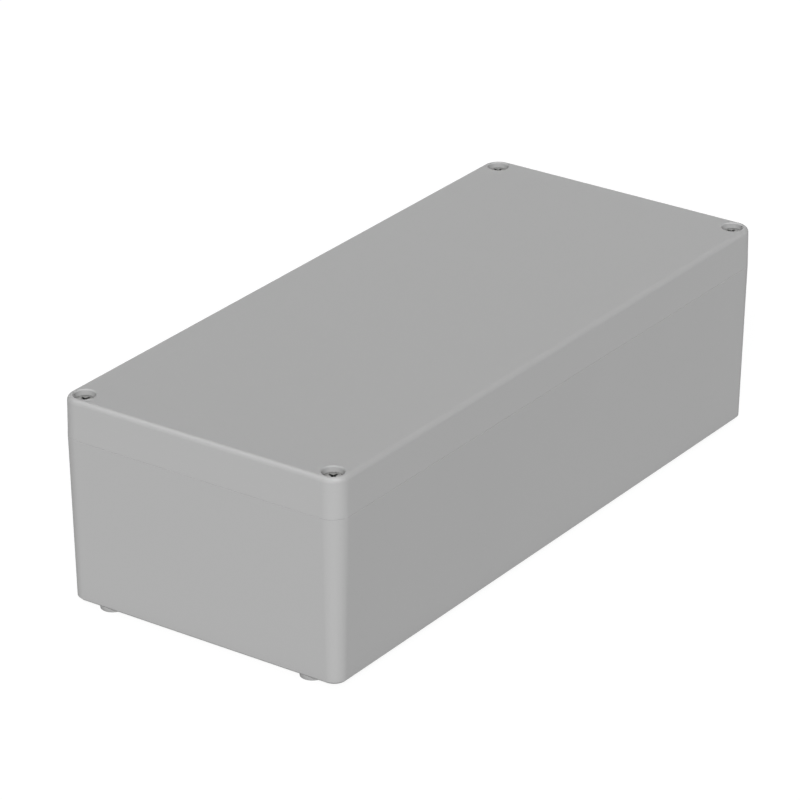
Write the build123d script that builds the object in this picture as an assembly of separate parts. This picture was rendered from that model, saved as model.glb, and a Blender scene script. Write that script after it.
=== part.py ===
from build123d import *
from math import radians, tan
import os

# A sealed moulded ABS enclosure: a deep base, and a lid held by a screw at each corner.
# Millimetres. X runs along the length, Y along the width, and Z is up from the feet.

# Outside, measured at the seam, where the case is widest
case_length = 250.0
case_width = 110.3
base_height = 58.7
lid_height = 14.2
corner_radius = 6.3
base_draft = 1.39
lid_draft = 0.76
top_edge_radius = 1.8
bottom_edge_break = 0.8
seam_edge_break = 0.15

# Walls
side_wall = 3.0
floor_thickness = 3.0
lid_thickness = 3.0
floor_corner_break = 1.2

# Corner fixings, measured in from the sides of the case
screw_inset = 6.0
wall_fixing_inset_x = 6.3
wall_fixing_inset_y = 14.8

# Lid screw, with a plain head and shank
head_radius = 3.5
head_height = 2.9
head_drop = 1.75
shank_radius = 2.0
shank_reach = 6.45
cross_span = 4.2
cross_slot = 0.9
cross_depth = 1.7

# Fits of the lid screw and its brass insert
head_clearance = 0.15
shank_clearance = 0.2
thread_clearance = 0.05
insert_fit = 0.02
insert_drop = 0.3
tip_clearance = 1.0

# Brass insert in the corner pillar, six-sided so that it can't turn
insert_flats = 5.6
insert_length = 8.0
pillar_wall = 1.8

# Wall fixing: a well beside each lid screw, a hole through the floor and a foot round it
well_length = 7.2
well_width = 7.6
well_corner_radius = 2.4
well_floor = 5.0
wall_hole_radius = 2.15
foot_radius = 4.2
foot_height = 1.5

# Seal: a tongue on the base, a groove in the lid and a ring of gasket in its roof
tongue_inset = 1.7
tongue_height = 2.5
lid_gap = 0.35
gasket_thickness = 2.0
gasket_gap = 0.05
skirt_thickness = 1.3
skirt_drop = 2.0
skirt_turn_radius = 1.85
block_turn_radius = 2.0

# Board bosses on the floor
boss_pitch_x = 200.0
boss_pitch_y = 80.0
boss_radius = 3.5
boss_height = 6.0
boss_hole_radius = 1.45
boss_hole_depth = 7.5

# Card guides, pairs of upright ribs on the long walls
guide_pairs = 4
guide_pitch = 48.0
guide_slot = 2.2
guide_rib = 1.5
guide_depth = 2.4
guide_below_rim = 6.0

# Levels
floor_level = foot_height + floor_thickness
seam_level = foot_height + base_height
top_level = seam_level + lid_height
tongue_level = seam_level + tongue_height
groove_level = tongue_level + gasket_thickness
seat_level = top_level - head_drop - head_height
shank_length = seat_level - seam_level + shank_reach

# Lines of the seal, moved in from the walls and from the corner blocks
groove_inset = tongue_inset - lid_gap
skirt_inset = side_wall + lid_gap
skirt_inner_inset = skirt_inset + skirt_thickness

# Places in one corner, repeated in all four
screw_x = case_length / 2 - screw_inset
screw_y = case_width / 2 - screw_inset
fixing_x = case_length / 2 - wall_fixing_inset_x
fixing_y = case_width / 2 - wall_fixing_inset_y
pillar_reach = screw_inset + insert_flats / 2 + pillar_wall
block_length = max(pillar_reach, wall_fixing_inset_x + well_length / 2)
block_width = wall_fixing_inset_y + well_width / 2
corner_names = {
    "front_left": (-1, -1),
    "front_right": (1, -1),
    "back_left": (-1, 1),
    "back_right": (1, 1),
}


# Round pin that stands on zero, and the same shape hanging down from zero
def pin(radius, height):
    return Cylinder(radius, height, align=(Align.CENTER, Align.CENTER, Align.MIN))


def hanging_pin(radius, height):
    return Cylinder(radius, height, align=(Align.CENTER, Align.CENTER, Align.MAX))


def corner_places(x, y, level):
    return [Location((sx * x, sy * y, level)) for sx, sy in corner_names.values()]


def repeated(shape, places):
    return [place * shape for place in places]


# Outline of the whole case at the seam
def case_outline(level):
    return Location((0, 0, level)) * RectangleRounded(case_length, case_width, corner_radius)


# Line of the seal at the seam, moved in by inset: along the walls and round the corner blocks
def seal_outline(inset, level):
    far_x = case_length / 2 - inset
    far_y = case_width / 2 - inset
    near_x = far_x - block_length
    near_y = far_y - block_width
    points = []
    for sx, sy in ((1, 1), (-1, 1), (-1, -1), (1, -1)):
        turn = [(sx * far_x, sy * near_y), (sx * near_x, sy * near_y), (sx * near_x, sy * far_y)]
        points += turn if sx == sy else turn[::-1]
    outer_turn = skirt_turn_radius + skirt_inner_inset - inset
    inner_turn = block_turn_radius + inset
    path = FilletPolyline(*points, radius=[outer_turn, inner_turn, outer_turn] * 4, close=True)
    return Location((0, 0, level)) * make_face(path)


def seal_ring(outer_inset, inner_inset, level, height):
    ring = extrude(seal_outline(outer_inset, level), amount=height)
    return ring - extrude(seal_outline(inner_inset, level), amount=height)


def top_face(shape):
    return shape.faces().sort_by(Axis.Z)[-1]


def bottom_face(shape):
    return shape.faces().sort_by(Axis.Z)[0]


# Six-sided brass, hanging down from zero with two of its flats across X
def hanging_hexagon(flats, height):
    return extrude(RegularPolygon(flats / 2, 6, major_radius=False, rotation=30), amount=-height)


# Base

def base_shell():
    body = extrude(case_outline(seam_level), amount=-base_height, taper=base_draft)
    body = chamfer(bottom_face(body).edges(), bottom_edge_break)
    body = chamfer(top_face(body).edges(), seam_edge_break)
    cavity = extrude(
        seal_outline(side_wall, seam_level), amount=floor_level - seam_level, taper=base_draft
    )
    cavity = chamfer(bottom_face(cavity).edges(), floor_corner_break)
    return body - cavity


def fixing_well():
    depth = seam_level - foot_height - well_floor
    return extrude(RectangleRounded(well_length, well_width, well_corner_radius), amount=-depth)


def foot():
    # The foot starts inside the floor, so that it joins the broken bottom edge
    return pin(foot_radius, foot_height + floor_thickness / 2)


def card_guide_rib():
    # Upright rib whose free edge follows the drafted wall, on the wall at +Y
    draft_run = tan(radians(base_draft))
    top = seam_level - guide_below_rim
    wall_top = case_width / 2 - side_wall - guide_below_rim * draft_run
    wall_bottom = case_width / 2 - side_wall - (seam_level - floor_level) * draft_run
    profile = make_face(
        Polyline(
            (wall_top - guide_depth, top),
            (wall_top + side_wall / 2, top),
            (wall_bottom + side_wall / 2, floor_level),
            (wall_bottom - guide_depth, floor_level),
            close=True,
        )
    )
    return extrude(Plane.YZ * profile, amount=guide_rib / 2, both=True)


def card_guides():
    rib = card_guide_rib()
    ribs = []
    for pair in range(guide_pairs):
        middle = (pair - (guide_pairs - 1) / 2) * guide_pitch
        for side in (-1, 1):
            x = middle + side * (guide_slot + guide_rib) / 2
            ribs += [Location((x, 0, 0)) * rib, Location((x, 0, 0), (0, 0, 180)) * rib]
    return ribs


def make_base():
    bosses = corner_places(boss_pitch_x / 2, boss_pitch_y / 2, floor_level + boss_height)
    screws = corner_places(screw_x, screw_y, seam_level)
    wells = corner_places(fixing_x, fixing_y, seam_level)
    feet = corner_places(fixing_x, fixing_y, 0)
    insert_bore_depth = max(insert_drop + insert_length, shank_reach + tip_clearance)

    base = base_shell() + seal_ring(tongue_inset, side_wall, seam_level, tongue_height)
    base += card_guides()
    base += repeated(hanging_pin(boss_radius, boss_height + floor_thickness / 2), bosses)
    base += repeated(foot(), feet)
    base -= repeated(hanging_pin(boss_hole_radius, boss_hole_depth), bosses)
    base -= repeated(hanging_hexagon(insert_flats + 2 * insert_fit, insert_bore_depth), screws)
    base -= repeated(fixing_well(), wells)
    base -= repeated(pin(wall_hole_radius, foot_height + well_floor), feet)
    return base


# Lid

def lid_shell():
    body = extrude(case_outline(seam_level), amount=lid_height, taper=lid_draft)
    body = fillet(top_face(body).edges(), top_edge_radius)
    body = chamfer(bottom_face(body).edges(), seam_edge_break)
    cavity = extrude(seal_outline(skirt_inner_inset, seam_level), amount=lid_height - lid_thickness)
    return body - cavity


def skirt():
    # The skirt reaches into the base and runs up beside the groove
    return seal_ring(
        skirt_inset, skirt_inner_inset, seam_level - skirt_drop, skirt_drop + tongue_height
    )


def make_lid():
    seats = corner_places(screw_x, screw_y, seat_level)
    lid = lid_shell() + skirt()
    lid -= seal_ring(groove_inset, skirt_inset, seam_level, groove_level - seam_level)
    lid -= repeated(pin(head_radius + head_clearance, top_level - seat_level), seats)
    lid -= repeated(hanging_pin(shank_radius + shank_clearance, seat_level - seam_level), seats)
    return lid


def make_gasket():
    return seal_ring(
        groove_inset + gasket_gap, skirt_inset - gasket_gap, tongue_level, gasket_thickness
    )


# Lid screw, drawn with the underside of its head at zero
def make_screw():
    blank = pin(head_radius, head_height) + hanging_pin(shank_radius, shank_length)
    slot = extrude(Location((0, 0, head_height)) * Rectangle(cross_span, cross_slot), amount=-cross_depth)
    return blank - slot - Rotation(0, 0, 90) * slot


# Brass insert, drawn with its mouth at zero
def make_insert():
    bore = hanging_pin(shank_radius + thread_clearance, insert_length)
    return hanging_hexagon(insert_flats, insert_length) - bore


def write_node(shape, name):
    shape.label = name
    export_step(shape, f"parts/{name}.step")


os.makedirs("parts", exist_ok=True)
write_node(make_base(), "base")
write_node(make_lid(), "lid")
write_node(make_gasket(), "gasket")
screws = repeated(make_screw(), corner_places(screw_x, screw_y, seat_level))
inserts = repeated(make_insert(), corner_places(screw_x, screw_y, seam_level - insert_drop))
for corner, screw, insert in zip(corner_names, screws, inserts):
    write_node(screw, f"lid_screw_{corner}")
    write_node(insert, f"screw_insert_{corner}")
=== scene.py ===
import math
import bpy
from mathutils import Matrix, Vector


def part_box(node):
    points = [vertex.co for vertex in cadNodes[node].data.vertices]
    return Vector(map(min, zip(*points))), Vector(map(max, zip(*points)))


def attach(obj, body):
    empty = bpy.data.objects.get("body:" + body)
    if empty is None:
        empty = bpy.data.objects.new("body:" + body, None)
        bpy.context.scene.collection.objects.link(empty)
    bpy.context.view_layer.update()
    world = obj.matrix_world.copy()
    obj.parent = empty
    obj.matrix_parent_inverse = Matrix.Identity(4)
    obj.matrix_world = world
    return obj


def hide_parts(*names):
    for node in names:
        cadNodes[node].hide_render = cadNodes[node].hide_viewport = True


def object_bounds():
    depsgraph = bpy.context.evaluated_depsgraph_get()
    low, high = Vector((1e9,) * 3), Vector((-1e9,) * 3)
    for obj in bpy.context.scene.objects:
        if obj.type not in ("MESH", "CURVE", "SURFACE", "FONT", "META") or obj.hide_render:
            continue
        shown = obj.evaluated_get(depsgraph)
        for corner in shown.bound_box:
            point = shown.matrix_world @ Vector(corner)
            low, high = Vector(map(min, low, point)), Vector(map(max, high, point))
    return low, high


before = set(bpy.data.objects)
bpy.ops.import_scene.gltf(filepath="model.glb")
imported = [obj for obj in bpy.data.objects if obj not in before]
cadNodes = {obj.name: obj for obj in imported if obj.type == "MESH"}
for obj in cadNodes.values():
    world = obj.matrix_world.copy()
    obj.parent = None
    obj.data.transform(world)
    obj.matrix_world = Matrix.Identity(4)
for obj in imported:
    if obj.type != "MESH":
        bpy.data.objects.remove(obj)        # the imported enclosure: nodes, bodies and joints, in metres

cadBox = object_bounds()
corners = ["front_left", "front_right", "back_left", "back_right"]
samePoint = 1e-6        # two points closer than this are one
print("frame loaded with", len(cadNodes), "nodes")


# Small tools

def clearSelection():
    if bpy.context.mode != "OBJECT":
        bpy.ops.object.mode_set(mode="OBJECT")
    bpy.ops.object.select_all(action="DESELECT")


def pickUp(piece):
    clearSelection()
    piece.select_set(True)
    bpy.context.view_layer.objects.active = piece


def choose(piece, kind, wanted):
    # Ends in edit mode, with only the wanted vertices, edges or faces selected
    pickUp(piece)
    bpy.ops.object.mode_set(mode="EDIT")
    bpy.ops.mesh.select_mode(type=kind)
    bpy.ops.mesh.select_all(action="DESELECT")
    bpy.ops.object.mode_set(mode="OBJECT")
    mesh = piece.data
    parts = {"VERT": mesh.vertices, "EDGE": mesh.edges, "FACE": mesh.polygons}[kind]
    for part in parts:
        part.select = wanted(part)
    bpy.ops.object.mode_set(mode="EDIT")


def edgeEnds(piece, edge):
    return [piece.data.vertices[i].co for i in edge.vertices]


def useModifier(piece, kind, **values):
    pickUp(piece)
    step = piece.modifiers.new(kind.lower(), kind)
    for name, value in values.items():
        setattr(step, name, value)
    bpy.ops.object.modifier_apply(modifier=step.name)


def cutOrJoin(piece, tool, operation):
    useModifier(piece, "BOOLEAN", object=tool, operation=operation, solver="EXACT")
    bpy.data.objects.remove(tool)


def mergePoints(piece):
    # Ends in edit mode, with the whole piece selected
    pickUp(piece)
    bpy.ops.object.mode_set(mode="EDIT")
    bpy.ops.mesh.select_all(action="SELECT")
    bpy.ops.mesh.remove_doubles(threshold=samePoint)


def settle(piece, sharpAngle):
    # Seams merged, faces outward, origin at the middle of the frame
    pickUp(piece)
    bpy.ops.object.transform_apply(location=True, rotation=True, scale=True)
    mergePoints(piece)
    bpy.ops.mesh.normals_make_consistent(inside=False)
    bpy.ops.object.mode_set(mode="OBJECT")
    bpy.ops.object.shade_smooth_by_angle(angle=math.radians(sharpAngle))


def copyTo(piece, name, place, turn):
    copied = bpy.data.objects.new(name, piece.data.copy())
    copied.data.transform(Matrix.Translation(place) @ Matrix.Rotation(math.radians(turn), 4, "Z"))
    bpy.context.scene.collection.objects.link(copied)
    return copied


# Camera, fitted to the outline of the case

cameraPlan = {
    "lens": 200,
    "sensor": 36,
    "azimuth": -54.964,
    "elevation": 25.031,
    "place": (-1.11948, -0.77589, 0.67600),
    "nearest": 0.05,
    "farthest": 60,
}


def setUpCamera(plan):
    optics = bpy.data.cameras.new("studioCamera")
    optics.lens = plan["lens"]
    optics.sensor_width = plan["sensor"]
    optics.clip_start = plan["nearest"]
    optics.clip_end = plan["farthest"]
    camera = bpy.data.objects.new("studioCamera", optics)
    camera.location = plan["place"]
    camera.rotation_euler = (math.radians(90 - plan["elevation"]), 0, math.radians(plan["azimuth"]))
    bpy.context.scene.collection.objects.link(camera)
    bpy.context.scene.camera = camera


setUpCamera(cameraPlan)
print("camera placed")


# Light: a soft key beside the camera, a weak fill behind the case and an even sky.
# Metal mirrors the white room and not these two. The end light and the corner light give only the sheen
# of the lid's rounded edges.

lightPlan = {
    "lamps": {
        "keyLight": {"from": (-0.660, -0.441, 0.470), "strength": 2.91, "spread": 28, "diffuse": True},
        "fillLight": {"from": (0.75, 0.55, 0.30), "strength": 0.94, "spread": 60, "diffuse": True},
        "endLight": {"from": (-0.231, 0.520, 0.822), "strength": 3.6, "spread": 40, "diffuse": False},
        "cornerLight": {"from": (-0.185, -0.407, 0.875), "strength": 8.0, "spread": 30, "diffuse": False},
    },
    "sky": 0.27,
    "whiteSeen": 1.0,
}


def addSun(name, plan):
    lamp = bpy.data.lights.new(name, "SUN")
    lamp.energy = plan["strength"]
    lamp.angle = math.radians(plan["spread"])
    sun = bpy.data.objects.new(name, lamp)
    sun.rotation_euler = Vector(plan["from"]).to_track_quat("Z", "Y").to_euler()
    sun.visible_diffuse = plan["diffuse"]
    sun.visible_glossy = not plan["diffuse"]
    bpy.context.scene.collection.objects.link(sun)
    return sun


def seenDirectly(tree):
    # One where a camera, glossy or transmission ray looks, so that metal shows the white too
    path = tree.nodes.new("ShaderNodeLightPath")
    total = path.outputs["Is Camera Ray"]
    for label in ("Is Glossy Ray", "Is Transmission Ray"):
        larger = tree.nodes.new("ShaderNodeMath")
        larger.operation = "MAXIMUM"
        tree.links.new(total, larger.inputs[0])
        tree.links.new(path.outputs[label], larger.inputs[1])
        total = larger.outputs[0]
    return total


def setUpSky(plan):
    world = bpy.data.worlds.new("studioSky")
    world.use_nodes = True
    tree = world.node_tree
    tree.nodes.clear()
    even = tree.nodes.new("ShaderNodeBackground")
    even.inputs["Strength"].default_value = plan["sky"]
    white = tree.nodes.new("ShaderNodeBackground")
    white.inputs["Strength"].default_value = plan["whiteSeen"]
    for shade in (even, white):
        shade.inputs["Color"].default_value = (1, 1, 1, 1)
    blend = tree.nodes.new("ShaderNodeMixShader")
    out = tree.nodes.new("ShaderNodeOutputWorld")
    tree.links.new(seenDirectly(tree), blend.inputs[0])
    tree.links.new(even.outputs[0], blend.inputs[1])
    tree.links.new(white.outputs[0], blend.inputs[2])
    tree.links.new(blend.outputs[0], out.inputs["Surface"])
    bpy.context.scene.world = world


suns = {name: addSun(name, lamp) for name, lamp in lightPlan["lamps"].items()}
setUpSky(lightPlan)
bpy.context.scene.view_settings.view_transform = "Standard"
print("lights set")


# Floor: white as the camera sees it, with a light soft shadow left in it

floorPlan = {
    "size": 40.0,
    "drop": 0.00005,
    "glow": 0.86,
    "shadowTone": 0.2,
    "bounce": 0.55,
    "shadeCorner": 0.0063,
    "shadeInset": 0.0015,
    "shadeFull": 0.0009,
    "shadeGone": 0.0022,
}


def awayFromFoot(tree, plan):
    # Painted shade: nothing in a narrow ring along the foot of the case, where little light reaches the
    # floor, else one
    low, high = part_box("base")
    place = tree.nodes.new("ShaderNodeTexCoord")
    folded = tree.nodes.new("ShaderNodeVectorMath")
    folded.operation = "ABSOLUTE"
    past = tree.nodes.new("ShaderNodeVectorMath")
    past.operation = "SUBTRACT"
    past.inputs[1].default_value = (high.x - plan["shadeCorner"], high.y - plan["shadeCorner"], 0)
    outside = tree.nodes.new("ShaderNodeVectorMath")
    outside.operation = "MAXIMUM"
    distance = tree.nodes.new("ShaderNodeVectorMath")
    distance.operation = "LENGTH"
    fade = tree.nodes.new("ShaderNodeMapRange")
    fade.interpolation_type = "SMOOTHSTEP"
    fade.inputs["From Min"].default_value = plan["shadeFull"]
    fade.inputs["From Max"].default_value = plan["shadeGone"]
    fromRing = tree.nodes.new("ShaderNodeMath")
    fromRing.operation = "SUBTRACT"
    fromRing.inputs[1].default_value = plan["shadeCorner"] - plan["shadeInset"]
    either = tree.nodes.new("ShaderNodeMath")
    either.operation = "ABSOLUTE"
    tree.links.new(place.outputs["Object"], folded.inputs[0])
    tree.links.new(folded.outputs[0], past.inputs[0])
    tree.links.new(past.outputs[0], outside.inputs[0])
    tree.links.new(outside.outputs[0], distance.inputs[0])
    tree.links.new(distance.outputs["Value"], fromRing.inputs[0])
    tree.links.new(fromRing.outputs[0], either.inputs[0])
    tree.links.new(either.outputs[0], fade.inputs["Value"])
    return fade.outputs[0]


def floorMaterial(plan):
    material = bpy.data.materials.new("whiteFloor")
    material.use_nodes = True
    material.cycles.emission_sampling = "NONE"    # as a lamp it leaves a line where its two triangles meet
    tree = material.node_tree
    tree.nodes.clear()
    glow = tree.nodes.new("ShaderNodeEmission")
    glow.inputs["Strength"].default_value = plan["glow"]
    matt = tree.nodes.new("ShaderNodeBsdfDiffuse")
    matt.inputs["Color"].default_value = (plan["shadowTone"],) * 3 + (1,)
    shown = tree.nodes.new("ShaderNodeAddShader")
    # For the rays that light the case the floor glows as painted bounce light, with painted shade along the
    # foot
    bounce = tree.nodes.new("ShaderNodeEmission")
    bounceLevel = tree.nodes.new("ShaderNodeMath")
    bounceLevel.operation = "MULTIPLY"
    bounceLevel.inputs[1].default_value = plan["bounce"]
    tree.links.new(awayFromFoot(tree, plan), bounceLevel.inputs[0])
    tree.links.new(bounceLevel.outputs[0], bounce.inputs["Strength"])
    chosen = tree.nodes.new("ShaderNodeMixShader")
    clear = tree.nodes.new("ShaderNodeBsdfTransparent")
    sides = tree.nodes.new("ShaderNodeMixShader")
    geometry = tree.nodes.new("ShaderNodeNewGeometry")
    out = tree.nodes.new("ShaderNodeOutputMaterial")
    tree.links.new(glow.outputs[0], shown.inputs[0])
    tree.links.new(matt.outputs[0], shown.inputs[1])
    tree.links.new(seenDirectly(tree), chosen.inputs[0])
    tree.links.new(bounce.outputs[0], chosen.inputs[1])
    tree.links.new(shown.outputs[0], chosen.inputs[2])
    tree.links.new(geometry.outputs["Backfacing"], sides.inputs[0])
    tree.links.new(chosen.outputs[0], sides.inputs[1])
    tree.links.new(clear.outputs[0], sides.inputs[2])
    tree.links.new(sides.outputs[0], out.inputs["Surface"])
    return material


def layFloor(plan):
    clearSelection()
    bpy.ops.mesh.primitive_plane_add(size=plan["size"], location=(0, 0, -plan["drop"]))
    floor = bpy.context.object
    floor.name = "studioFloor"
    floor.data.materials.append(floorMaterial(plan))


layFloor(floorPlan)
print("floor laid")


# Shared surface effects

effectPlan = {
    "slowDetail": 2,
    "fineDetail": 3,
    "toneBreakup": 0.5,
    "glossDetail": 4,
    "glossBreakup": 0.6,
    "glossSpan": (0.3, 0.7),
    "toothDetail": 2,
    "toothBreakup": 0.5,
    "ringDistortion": 1.5,
    "ringDetail": 2,
}


def startGroup(name, inputs, outputs):
    group = bpy.data.node_groups.new(name, "ShaderNodeTree")
    for label, kind, value in inputs:
        socket = group.interface.new_socket(name=label, in_out="INPUT", socket_type=kind)
        if value is not None:
            socket.default_value = value
    for label, kind in outputs:
        group.interface.new_socket(name=label, in_out="OUTPUT", socket_type=kind)
    return group, group.nodes.new("NodeGroupInput"), group.nodes.new("NodeGroupOutput")


def noiseNode(group, entry, scaleOutput, detail, roughness):
    noise = group.nodes.new("ShaderNodeTexNoise")
    noise.inputs["Detail"].default_value = detail
    noise.inputs["Roughness"].default_value = roughness
    group.links.new(entry.outputs["Vector"], noise.inputs["Vector"])
    group.links.new(scaleOutput, noise.inputs["Scale"])
    return noise


def toneDriftGroup(plan):
    # A colour that wanders a little in brightness, slowly over the piece and finely in its grain
    group, entry, leave = startGroup(
        "toneDrift",
        [
            ("Vector", "NodeSocketVector", None),
            ("Color", "NodeSocketColor", (0.5, 0.5, 0.5, 1)),
            ("Slow Scale", "NodeSocketFloat", 10),
            ("Slow Amount", "NodeSocketFloat", 0.04),
            ("Fine Scale", "NodeSocketFloat", 2000),
            ("Fine Amount", "NodeSocketFloat", 0.04),
        ],
        [("Color", "NodeSocketColor")],
    )
    total = None
    for kind, detail in (("Slow", plan["slowDetail"]), ("Fine", plan["fineDetail"])):
        noise = noiseNode(group, entry, entry.outputs[kind + " Scale"], detail, plan["toneBreakup"])
        centred = group.nodes.new("ShaderNodeMath")
        centred.operation = "SUBTRACT"
        centred.inputs[1].default_value = 0.5
        scaled = group.nodes.new("ShaderNodeMath")
        scaled.operation = "MULTIPLY_ADD"
        group.links.new(noise.outputs["Fac"], centred.inputs[0])
        group.links.new(centred.outputs[0], scaled.inputs[0])
        group.links.new(entry.outputs[kind + " Amount"], scaled.inputs[1])
        if total is None:
            scaled.inputs[2].default_value = 1
        else:
            group.links.new(total, scaled.inputs[2])
        total = scaled.outputs[0]
    tinted = group.nodes.new("ShaderNodeVectorMath")
    tinted.operation = "SCALE"
    group.links.new(entry.outputs["Color"], tinted.inputs[0])
    group.links.new(total, tinted.inputs["Scale"])
    group.links.new(tinted.outputs[0], leave.inputs["Color"])
    return group


def glossDriftGroup(plan):
    # Roughness that wanders between two values
    group, entry, leave = startGroup(
        "glossDrift",
        [
            ("Vector", "NodeSocketVector", None),
            ("Scale", "NodeSocketFloat", 40),
            ("Low", "NodeSocketFloat", 0.45),
            ("High", "NodeSocketFloat", 0.6),
        ],
        [("Roughness", "NodeSocketFloat")],
    )
    noise = noiseNode(group, entry, entry.outputs["Scale"], plan["glossDetail"], plan["glossBreakup"])
    spread = group.nodes.new("ShaderNodeMapRange")
    spread.inputs["From Min"].default_value = plan["glossSpan"][0]
    spread.inputs["From Max"].default_value = plan["glossSpan"][1]
    group.links.new(noise.outputs["Fac"], spread.inputs["Value"])
    group.links.new(entry.outputs["Low"], spread.inputs["To Min"])
    group.links.new(entry.outputs["High"], spread.inputs["To Max"])
    group.links.new(spread.outputs[0], leave.inputs["Roughness"])
    return group


def fineGrainGroup(plan):
    # Height of a fine even grain: soft pits with a finer tooth over them
    group, entry, leave = startGroup(
        "fineGrain",
        [
            ("Vector", "NodeSocketVector", None),
            ("Pit Scale", "NodeSocketFloat", 3000),
            ("Tooth Scale", "NodeSocketFloat", 7000),
            ("Tooth Share", "NodeSocketFloat", 0.35),
        ],
        [("Height", "NodeSocketFloat")],
    )
    pits = group.nodes.new("ShaderNodeTexVoronoi")
    pits.feature = "SMOOTH_F1"
    group.links.new(entry.outputs["Vector"], pits.inputs["Vector"])
    group.links.new(entry.outputs["Pit Scale"], pits.inputs["Scale"])
    toothScale = entry.outputs["Tooth Scale"]
    tooth = noiseNode(group, entry, toothScale, plan["toothDetail"], plan["toothBreakup"])
    total = group.nodes.new("ShaderNodeMath")
    total.operation = "MULTIPLY_ADD"
    group.links.new(tooth.outputs["Fac"], total.inputs[0])
    group.links.new(entry.outputs["Tooth Share"], total.inputs[1])
    group.links.new(pits.outputs["Distance"], total.inputs[2])
    group.links.new(total.outputs[0], leave.inputs["Height"])
    return group


def turnedRingsGroup(plan):
    # Height of the rings that a lathe leaves. The corners fold onto one, so all four share its axis.
    group, entry, leave = startGroup(
        "turnedRings",
        [
            ("Vector", "NodeSocketVector", None),
            ("Axis", "NodeSocketVector", (0, 0, 0)),
            ("Scale", "NodeSocketFloat", 2000),
            ("Share", "NodeSocketFloat", 1),
            ("Height", "NodeSocketFloat", 0),
        ],
        [("Height", "NodeSocketFloat"), ("Radius", "NodeSocketFloat")],
    )
    folded = group.nodes.new("ShaderNodeVectorMath")
    folded.operation = "ABSOLUTE"
    centred = group.nodes.new("ShaderNodeVectorMath")
    centred.operation = "SUBTRACT"
    flat = group.nodes.new("ShaderNodeVectorMath")
    flat.operation = "MULTIPLY"
    flat.inputs[1].default_value = (1, 1, 0)
    radius = group.nodes.new("ShaderNodeVectorMath")
    radius.operation = "LENGTH"
    rings = group.nodes.new("ShaderNodeTexWave")
    rings.wave_type = "RINGS"
    rings.rings_direction = "Z"
    rings.inputs["Distortion"].default_value = plan["ringDistortion"]
    rings.inputs["Detail"].default_value = plan["ringDetail"]
    total = group.nodes.new("ShaderNodeMath")
    total.operation = "MULTIPLY_ADD"
    group.links.new(entry.outputs["Vector"], folded.inputs[0])
    group.links.new(folded.outputs[0], centred.inputs[0])
    group.links.new(entry.outputs["Axis"], centred.inputs[1])
    group.links.new(centred.outputs[0], flat.inputs[0])
    group.links.new(flat.outputs[0], radius.inputs[0])
    group.links.new(centred.outputs[0], rings.inputs["Vector"])
    group.links.new(entry.outputs["Scale"], rings.inputs["Scale"])
    group.links.new(rings.outputs["Fac"], total.inputs[0])
    group.links.new(entry.outputs["Share"], total.inputs[1])
    group.links.new(entry.outputs["Height"], total.inputs[2])
    group.links.new(total.outputs[0], leave.inputs["Height"])
    group.links.new(radius.outputs["Value"], leave.inputs["Radius"])
    return group


def recessShadeGroup():
    # Painted shade: darkens a colour in a recess, from the face of the head downwards, and no further out
    # than its reach
    group, entry, leave = startGroup(
        "recessShade",
        [
            ("Vector", "NodeSocketVector", None),
            ("Color", "NodeSocketColor", (0.5, 0.5, 0.5, 1)),
            ("Radius", "NodeSocketFloat", 0),
            ("Face", "NodeSocketFloat", 0.07),
            ("Fade", "NodeSocketFloat", 0.0005),
            ("Depth", "NodeSocketFloat", 0.002),
            ("Reach", "NodeSocketFloat", 0.0025),
            ("Tone", "NodeSocketFloat", 0.2),
        ],
        [("Color", "NodeSocketColor")],
    )
    split = group.nodes.new("ShaderNodeSeparateXYZ")
    below = group.nodes.new("ShaderNodeMath")
    below.operation = "SUBTRACT"
    within = group.nodes.new("ShaderNodeMath")
    within.operation = "LESS_THAN"
    above = group.nodes.new("ShaderNodeMath")
    above.operation = "LESS_THAN"
    down = group.nodes.new("ShaderNodeMapRange")
    inside = group.nodes.new("ShaderNodeMath")
    inside.operation = "MULTIPLY"
    mask = group.nodes.new("ShaderNodeMath")
    mask.operation = "MULTIPLY"
    tone = group.nodes.new("ShaderNodeMapRange")
    tone.inputs["To Min"].default_value = 1
    shaded = group.nodes.new("ShaderNodeVectorMath")
    shaded.operation = "SCALE"
    group.links.new(entry.outputs["Vector"], split.inputs[0])
    group.links.new(entry.outputs["Face"], below.inputs[0])
    group.links.new(split.outputs["Z"], below.inputs[1])
    group.links.new(below.outputs[0], down.inputs["Value"])
    group.links.new(entry.outputs["Fade"], down.inputs["From Max"])
    group.links.new(below.outputs[0], above.inputs[0])
    group.links.new(entry.outputs["Depth"], above.inputs[1])
    group.links.new(entry.outputs["Radius"], within.inputs[0])
    group.links.new(entry.outputs["Reach"], within.inputs[1])
    group.links.new(within.outputs[0], inside.inputs[0])
    group.links.new(above.outputs[0], inside.inputs[1])
    group.links.new(inside.outputs[0], mask.inputs[0])
    group.links.new(down.outputs[0], mask.inputs[1])
    group.links.new(mask.outputs[0], tone.inputs["Value"])
    group.links.new(entry.outputs["Tone"], tone.inputs["To Max"])
    group.links.new(entry.outputs["Color"], shaded.inputs[0])
    group.links.new(tone.outputs[0], shaded.inputs["Scale"])
    group.links.new(shaded.outputs[0], leave.inputs["Color"])
    return group


toneDrift = toneDriftGroup(effectPlan)
glossDrift = glossDriftGroup(effectPlan)
fineGrain = fineGrainGroup(effectPlan)
turnedRings = turnedRingsGroup(effectPlan)
recessShade = recessShadeGroup()


def screwAxis():
    low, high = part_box("lid_screw_back_right")
    return ((low.x + high.x) / 2, (low.y + high.y) / 2, 0)


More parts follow.
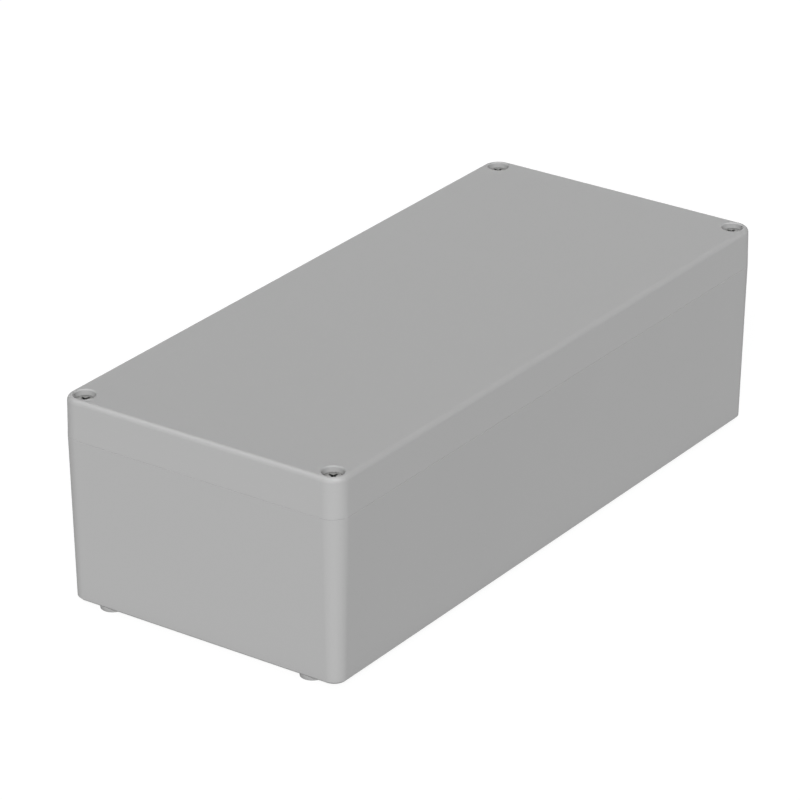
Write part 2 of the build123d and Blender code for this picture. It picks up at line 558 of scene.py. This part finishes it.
def finishMaterial(plan):
    # The same three effects feed every finish, each with the finish's own values, and turned metal has rings
    material = bpy.data.materials.new(plan["name"])
    material.use_nodes = True
    tree = material.node_tree
    shader = tree.nodes["Principled BSDF"]
    shader.inputs["Metallic"].default_value = plan["metallic"]
    shader.inputs["Specular IOR Level"].default_value = plan["specular"]
    place = tree.nodes.new("ShaderNodeTexCoord")
    effects = {}
    for group in (toneDrift, glossDrift, fineGrain):
        node = tree.nodes.new("ShaderNodeGroup")
        node.node_tree = group
        tree.links.new(place.outputs["Object"], node.inputs["Vector"])
        for label, value in plan[group.name].items():
            node.inputs[label].default_value = value
        effects[group.name] = node
    bump = tree.nodes.new("ShaderNodeBump")
    bump.inputs["Strength"].default_value = plan["bumpStrength"]
    bump.inputs["Distance"].default_value = plan["bumpDepth"]
    tree.links.new(effects["glossDrift"].outputs["Roughness"], shader.inputs["Roughness"])
    color = effects["toneDrift"].outputs["Color"]
    height = effects["fineGrain"].outputs["Height"]
    if "turnedRings" in plan:
        rings = tree.nodes.new("ShaderNodeGroup")
        rings.node_tree = turnedRings
        rings.inputs["Axis"].default_value = screwAxis()
        for label, value in plan["turnedRings"].items():
            rings.inputs[label].default_value = value
        tree.links.new(place.outputs["Object"], rings.inputs["Vector"])
        tree.links.new(height, rings.inputs["Height"])
        height = rings.outputs["Height"]
    # The steel's cross recess gets painted shade, darker than the metal's own colour
    if "recessShade" in plan:
        recess = tree.nodes.new("ShaderNodeGroup")
        recess.node_tree = recessShade
        recess.inputs["Face"].default_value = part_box("lid_screw_back_right")[1].z
        for label, value in plan["recessShade"].items():
            recess.inputs[label].default_value = value
        tree.links.new(place.outputs["Object"], recess.inputs["Vector"])
        tree.links.new(rings.outputs["Radius"], recess.inputs["Radius"])
        tree.links.new(color, recess.inputs["Color"])
        color = recess.outputs["Color"]
    tree.links.new(color, shader.inputs["Base Color"])
    tree.links.new(height, bump.inputs["Height"])
    tree.links.new(bump.outputs["Normal"], shader.inputs["Normal"])
    return material


absPlan = {
    "name": "absGrey",
    "metallic": 0.0,
    "specular": 0.3,
    "toneDrift": {"Color": (0.385, 0.385, 0.385, 1), "Slow Scale": 12, "Slow Amount": 0.012,
                  "Fine Scale": 2600, "Fine Amount": 0.05},
    "glossDrift": {"Scale": 30, "Low": 0.53, "High": 0.57},
    "fineGrain": {"Pit Scale": 3200, "Tooth Scale": 9000, "Tooth Share": 0.35},
    "bumpStrength": 0.35,
    "bumpDepth": 0.00004,
}

rubberPlan = {
    "name": "gasketRubber",
    "metallic": 0.0,
    "specular": 0.3,
    "toneDrift": {"Color": (0.03, 0.03, 0.031, 1), "Slow Scale": 40, "Slow Amount": 0.3,
                  "Fine Scale": 3000, "Fine Amount": 0.5},
    "glossDrift": {"Scale": 120, "Low": 0.7, "High": 0.9},
    "fineGrain": {"Pit Scale": 2400, "Tooth Scale": 6000, "Tooth Share": 0.5},
    "bumpStrength": 0.6,
    "bumpDepth": 0.00008,
}

steelPlan = {
    "name": "screwSteel",
    "metallic": 1.0,
    "specular": 0.5,
    "toneDrift": {"Color": (0.43, 0.43, 0.422, 1), "Slow Scale": 500, "Slow Amount": 0.3,
                  "Fine Scale": 6000, "Fine Amount": 0.3},
    "glossDrift": {"Scale": 900, "Low": 0.24, "High": 0.4},
    "fineGrain": {"Pit Scale": 5000, "Tooth Scale": 12000, "Tooth Share": 0.6},
    "turnedRings": {"Scale": 2100, "Share": 0.8},
    # painted shade in the cross recess
    "recessShade": {"Fade": 0.0007, "Depth": 0.00175, "Reach": 0.0027, "Tone": 0.12},
    "bumpStrength": 0.35,
    "bumpDepth": 0.00003,
}

brassPlan = {
    "name": "insertBrass",
    "metallic": 1.0,
    "specular": 0.5,
    "toneDrift": {"Color": (0.72, 0.52, 0.24, 1), "Slow Scale": 400, "Slow Amount": 0.25,
                  "Fine Scale": 5000, "Fine Amount": 0.2},
    "glossDrift": {"Scale": 700, "Low": 0.25, "High": 0.4},
    "fineGrain": {"Pit Scale": 5000, "Tooth Scale": 12000, "Tooth Share": 0.6},
    "turnedRings": {"Scale": 1600, "Share": 1.0},
    "bumpStrength": 0.3,
    "bumpDepth": 0.00002,
}

absGrey = finishMaterial(absPlan)
gasketRubber = finishMaterial(rubberPlan)
screwSteel = finishMaterial(steelPlan)
insertBrass = finishMaterial(brassPlan)
print("finishes made")


# Moulded pieces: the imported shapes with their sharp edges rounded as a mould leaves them

mouldedPlan = {
    "moulded_base": {"node": "base", "body": "base", "slot": "abs_grey", "finish": absGrey, "edge": 0.0002},
    "moulded_lid": {"node": "lid", "body": "lid", "slot": "abs_grey", "finish": absGrey, "edge": 0.0002,
                    "recessRadius": 0.00365, "recessRim": 0.0006},
    "rubber_gasket": {"node": "gasket", "body": "lid", "slot": "gasket_rubber", "finish": gasketRubber,
                      "edge": 0.0006, "segments": 4},
}
edgeRounding = {"sharperThan": 60, "flatWithin": 0.4, "segments": 2, "smoothBelow": 32}
rimRounding = {
    "sides": 72,
    "from": 165,
    "to": 95,
    "step": 14,
    "startLevel": 0.75,
    "startDepth": 0.25,
    "overlap": 0.00005,
    "above": 0.0005,
}


def roundRecessRim(piece, centre, radius, rim, plan):
    # A trumpet that widens along the rounding is cut out of the rim
    clearSelection()
    level = centre.z - rim * plan["startLevel"]
    depth = rim * plan["startDepth"]
    width = radius - plan["overlap"]
    bpy.ops.mesh.primitive_cylinder_add(vertices=plan["sides"], radius=width, depth=depth,
                                        location=(centre.x, centre.y, level - depth / 2))
    trumpet = bpy.context.object
    bpy.ops.object.transform_apply(location=True, rotation=True, scale=True)
    rings = []
    for angle in range(plan["from"], plan["to"] - 1, -plan["step"]):
        turn = math.radians(angle)
        rings.append((radius + rim * (1 + math.cos(turn)), centre.z - rim * (1 - math.sin(turn))))
    rings.append((rings[-1][0] + plan["overlap"], centre.z + plan["above"]))
    choose(trumpet, "FACE", lambda f: f.normal.z > 0.5)
    for ringWidth, ringLevel in rings:
        bpy.ops.mesh.extrude_region_move(TRANSFORM_OT_translate={"value": (0, 0, ringLevel - level)})
        bpy.ops.transform.resize(value=(ringWidth / width,) * 2 + (1,),
                                 center_override=(centre.x, centre.y, ringLevel))
        level, width = ringLevel, ringWidth
    bpy.ops.object.mode_set(mode="OBJECT")
    cutOrJoin(piece, trumpet, "DIFFERENCE")


def roundedCopy(name, plan, rounding):
    piece = bpy.data.objects.new(name, cadNodes[plan["node"]].data.copy())
    bpy.context.scene.collection.objects.link(piece)
    pickUp(piece)
    bpy.ops.mesh.customdata_custom_splitnormals_clear()
    mergePoints(piece)
    bpy.ops.mesh.dissolve_limited(angle_limit=math.radians(rounding["flatWithin"]))
    bpy.ops.object.mode_set(mode="OBJECT")
    if "recessRim" in plan:
        for corner in corners:
            low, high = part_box("lid_screw_" + corner)
            centre = Vector(((low.x + high.x) / 2, (low.y + high.y) / 2, cadBox[1][2]))
            roundRecessRim(piece, centre, plan["recessRadius"], plan["recessRim"], rimRounding)
        # The cuts leave points under a micron apart where a rim meets the rounded top edge
        mergePoints(piece)
        bpy.ops.object.mode_set(mode="OBJECT")
    bpy.ops.object.shade_smooth_by_angle(angle=math.radians(rounding["smoothBelow"]))
    useModifier(piece, "BEVEL", width=plan["edge"], segments=plan.get("segments", rounding["segments"]),
                limit_method="ANGLE", angle_limit=math.radians(rounding["sharperThan"]), harden_normals=True)
    useModifier(piece, "WEIGHTED_NORMAL", keep_sharp=True)
    piece.data.materials.clear()
    piece.data.materials.append(plan["finish"])
    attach(piece, plan["body"])
    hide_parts(plan["node"])
    return piece


def lightOnly(sun, piece):
    lit = bpy.data.collections.new(sun.name + "Receivers")
    lit.objects.link(piece)
    sun.light_linking.receiver_collection = lit


moulded = {name: roundedCopy(name, plan, edgeRounding) for name, plan in mouldedPlan.items()}
for sheen in ("endLight", "cornerLight"):
    lightOnly(suns[sheen], moulded["moulded_lid"])
print("moulded pieces rounded,", [len(piece.data.polygons) for piece in moulded.values()], "faces")


# Lid screw: a cheese head with a cross recess, a short neck and a rolled thread

screwPlan = {
    "headHeight": 0.0029,
    "headRound": 0.00055,
    "headSegments": 5,
    "headUnderRound": 0.0002,
    "underSegments": 2,
    "neckRadius": 0.00172,
    "neckLength": 0.0012,
    "rootRadius": 0.0016,
    "crestRadius": 0.00199,
    "pitch": 0.0007,
    "threadSteps": 30,
    "threadStart": 0.75,
    "threadRunOut": ((1, 0.96), (0.5, 0.93)),
    "ridgeWidth": 0.88,
    "crestShare": 0.2,
    "ridgeOverlap": 0.0001,
    "tipChamfer": 0.0004,
    "crossSpan": 0.0042,
    "crossSlot": 0.00095,
    "crossDepth": 0.0017,
    "crossFlare": (1.5, 1.25),
    "crossTaper": (0.42, 0.62, 1),
    "sides": 72,
    "sharpAngle": 38,
    "turns": {"front_left": -10, "front_right": -3, "back_left": -17, "back_right": -8},
}


def helicalRidge(plan, innerRadius, outerRadius, bottom, turns):
    # A tapered section at the bottom of the thread, carried up round the axis and closed at both ends
    clearSelection()
    middle = (innerRadius + outerRadius) / 2
    bpy.ops.mesh.primitive_plane_add(size=1, location=(middle, 0, bottom), rotation=(math.pi / 2, 0, 0))
    ridge = bpy.context.object
    ridge.scale = (outerRadius - innerRadius, plan["pitch"] * plan["ridgeWidth"], 1)
    bpy.ops.object.transform_apply(location=True, rotation=True, scale=True)
    choose(ridge, "VERT", lambda v: v.co.x > middle)
    bpy.ops.transform.resize(value=(1, 1, plan["crestShare"]), center_override=(outerRadius, 0, bottom))
    bpy.ops.mesh.select_all(action="SELECT")
    bpy.ops.mesh.delete(type="ONLY_FACE")
    bpy.ops.object.mode_set(mode="OBJECT")
    useModifier(ridge, "SCREW", axis="Z", angle=2 * math.pi, steps=plan["threadSteps"],
                render_steps=plan["threadSteps"], screw_offset=plan["pitch"], iterations=turns)
    bpy.ops.object.mode_set(mode="EDIT")
    bpy.ops.mesh.select_all(action="SELECT")
    bpy.ops.mesh.fill_holes(sides=4)
    bpy.ops.mesh.normals_make_consistent(inside=False)
    bpy.ops.object.mode_set(mode="OBJECT")
    return ridge


def crossCutter(plan, turn):
    # Narrow at the bottom of the recess, flaring to its top, as far above the face of the head
    clearSelection()
    height = plan["crossDepth"] * 2
    bottom = plan["headHeight"] - plan["crossDepth"]
    lengthFlare, widthFlare = plan["crossFlare"]
    bpy.ops.mesh.primitive_cube_add(size=1, location=(0, 0, bottom + height / 2))
    cutter = bpy.context.object
    cutter.scale = (plan["crossSpan"] * lengthFlare, plan["crossSlot"] * widthFlare, height)
    bpy.ops.object.transform_apply(location=True, rotation=True, scale=True)
    choose(cutter, "FACE", lambda f: f.normal.z < -0.5)
    bpy.ops.transform.resize(value=plan["crossTaper"], center_override=(0, 0, bottom))
    bpy.ops.object.mode_set(mode="OBJECT")
    cutter.data.transform(Matrix.Rotation(turn, 4, "Z"))
    return cutter


def modelScrew(plan, headRadius, length):
    # Stands with the underside of its head at zero
    clearSelection()
    bpy.ops.mesh.primitive_cylinder_add(vertices=plan["sides"], radius=headRadius, depth=plan["headHeight"],
                                        location=(0, 0, plan["headHeight"] / 2))
    screw = bpy.context.object
    bpy.ops.object.transform_apply(location=True, rotation=True, scale=True)
    choose(screw, "EDGE", lambda e: all(p.z > plan["headHeight"] - samePoint for p in edgeEnds(screw, e)))
    bpy.ops.mesh.bevel(offset=plan["headRound"], segments=plan["headSegments"], affect="EDGES")
    bpy.ops.object.mode_set(mode="OBJECT")
    choose(screw, "EDGE", lambda e: all(p.z < samePoint for p in edgeEnds(screw, e)))
    bpy.ops.mesh.bevel(offset=plan["headUnderRound"], segments=plan["underSegments"], affect="EDGES")
    bpy.ops.object.mode_set(mode="OBJECT")
    choose(screw, "FACE", lambda f: f.normal.z < -0.9 and len(f.vertices) == plan["sides"])
    bpy.ops.mesh.inset(thickness=headRadius - plan["headUnderRound"] - plan["neckRadius"])
    bpy.ops.mesh.extrude_region_move(TRANSFORM_OT_translate={"value": (0, 0, -plan["neckLength"])})
    bpy.ops.mesh.inset(thickness=plan["neckRadius"] - plan["rootRadius"])
    bpy.ops.mesh.extrude_region_move(TRANSFORM_OT_translate={"value": (0, 0, plan["neckLength"] - length)})
    bpy.ops.object.mode_set(mode="OBJECT")
    choose(screw, "EDGE", lambda e: all(p.z < samePoint - length for p in edgeEnds(screw, e)))
    bpy.ops.mesh.bevel(offset=plan["tipChamfer"], segments=1, affect="EDGES")
    bpy.ops.object.mode_set(mode="OBJECT")

    # The thread is a turn shorter than its room and thins out at the tip
    turns = int((length - plan["neckLength"]) / plan["pitch"]) - 1
    threadBottom = -length + plan["pitch"] * plan["threadStart"]
    inner = plan["rootRadius"] - plan["ridgeOverlap"]
    ridge = helicalRidge(plan, inner, plan["crestRadius"], threadBottom, turns)
    for reach, share in plan["threadRunOut"]:
        choose(ridge, "VERT", lambda v: v.co.z < threadBottom + plan["pitch"] * reach)
        bpy.ops.transform.resize(value=(share, share, 1), center_override=(0, 0, 0))
        bpy.ops.object.mode_set(mode="OBJECT")
    cutOrJoin(screw, ridge, "UNION")
    for turn in (0, math.pi / 2):
        cutOrJoin(screw, crossCutter(plan, turn), "DIFFERENCE")
    settle(screw, plan["sharpAngle"])
    return screw


def fitScrews(plan):
    low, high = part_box("lid_screw_" + corners[0])
    headRadius = (high.x - low.x) / 2
    length = high.z - low.z - plan["headHeight"]
    screw = modelScrew(plan, headRadius, length)
    screw.data.materials.append(screwSteel)
    for corner in corners:
        node = "lid_screw_" + corner
        low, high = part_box(node)
        place = Vector(((low.x + high.x) / 2, (low.y + high.y) / 2, high.z - plan["headHeight"]))
        piece = copyTo(screw, "cross_screw_" + corner, place, plan["turns"][corner])
        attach(piece, node)
        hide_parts(node)
    print("screws fitted,", len(screw.data.polygons), "faces each")
    bpy.data.objects.remove(screw)


fitScrews(screwPlan)


# Brass insert: six-sided bar with its ends broken, a bore with a countersunk mouth and a thread cut in it

insertPlan = {
    "sides": 6,
    "endBreak": 0.00022,
    "boreRadius": 0.00205,
    "boreSides": 60,
    "boreReach": 1.5,
    "mouthBreak": 0.00028,
    "grooveDepth": 0.00022,
    "pitch": 0.0007,
    "threadSteps": 30,
    "ridgeWidth": 0.88,
    "crestShare": 0.2,
    "ridgeOverlap": 0.0001,
    "sharpAngle": 30,
}


def modelInsert(plan, flats, height):
    # Hangs down from zero, with two of its flats across X
    clearSelection()
    outer = flats / 2 / math.cos(math.pi / plan["sides"])
    bpy.ops.mesh.primitive_cylinder_add(vertices=plan["sides"], radius=outer, depth=height,
                                        location=(0, 0, -height / 2))
    insert = bpy.context.object
    bpy.ops.object.transform_apply(location=True, rotation=True, scale=True)
    ends = (0, -height)
    for end in ends:
        choose(insert, "EDGE", lambda e: all(abs(p.z - end) < samePoint for p in edgeEnds(insert, e)))
        bpy.ops.mesh.bevel(offset=plan["endBreak"], segments=2, affect="EDGES")
        bpy.ops.object.mode_set(mode="OBJECT")

    clearSelection()
    bore = plan["boreRadius"]
    bpy.ops.mesh.primitive_cylinder_add(vertices=plan["boreSides"], radius=bore,
                                        depth=height * plan["boreReach"], location=(0, 0, -height / 2))
    cutOrJoin(insert, bpy.context.object, "DIFFERENCE")
    for end in ends:
        choose(insert, "EDGE", lambda e: all(abs(p.z - end) < samePoint and p.xy.length < bore + samePoint
                                             for p in edgeEnds(insert, e)))
        bpy.ops.mesh.bevel(offset=plan["mouthBreak"], segments=1, affect="EDGES")
        bpy.ops.object.mode_set(mode="OBJECT")

    # The groove starts a turn below the bar and runs out above it
    turns = int(height / plan["pitch"]) + 2
    inner = bore - plan["ridgeOverlap"]
    groove = helicalRidge(plan, inner, bore + plan["grooveDepth"], -height - plan["pitch"], turns)
    cutOrJoin(insert, groove, "DIFFERENCE")
    settle(insert, plan["sharpAngle"])
    return insert


def fitInserts(plan):
    low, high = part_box("screw_insert_" + corners[0])
    insert = modelInsert(plan, high.x - low.x, high.z - low.z)
    insert.data.materials.append(insertBrass)
    for corner in corners:
        node = "screw_insert_" + corner
        low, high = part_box(node)
        place = Vector(((low.x + high.x) / 2, (low.y + high.y) / 2, high.z))
        piece = copyTo(insert, "brass_insert_" + corner, place, 0)
        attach(piece, "base")
        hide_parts(node)
    print("inserts fitted,", len(insert.data.polygons), "faces each")
    bpy.data.objects.remove(insert)


fitInserts(insertPlan)
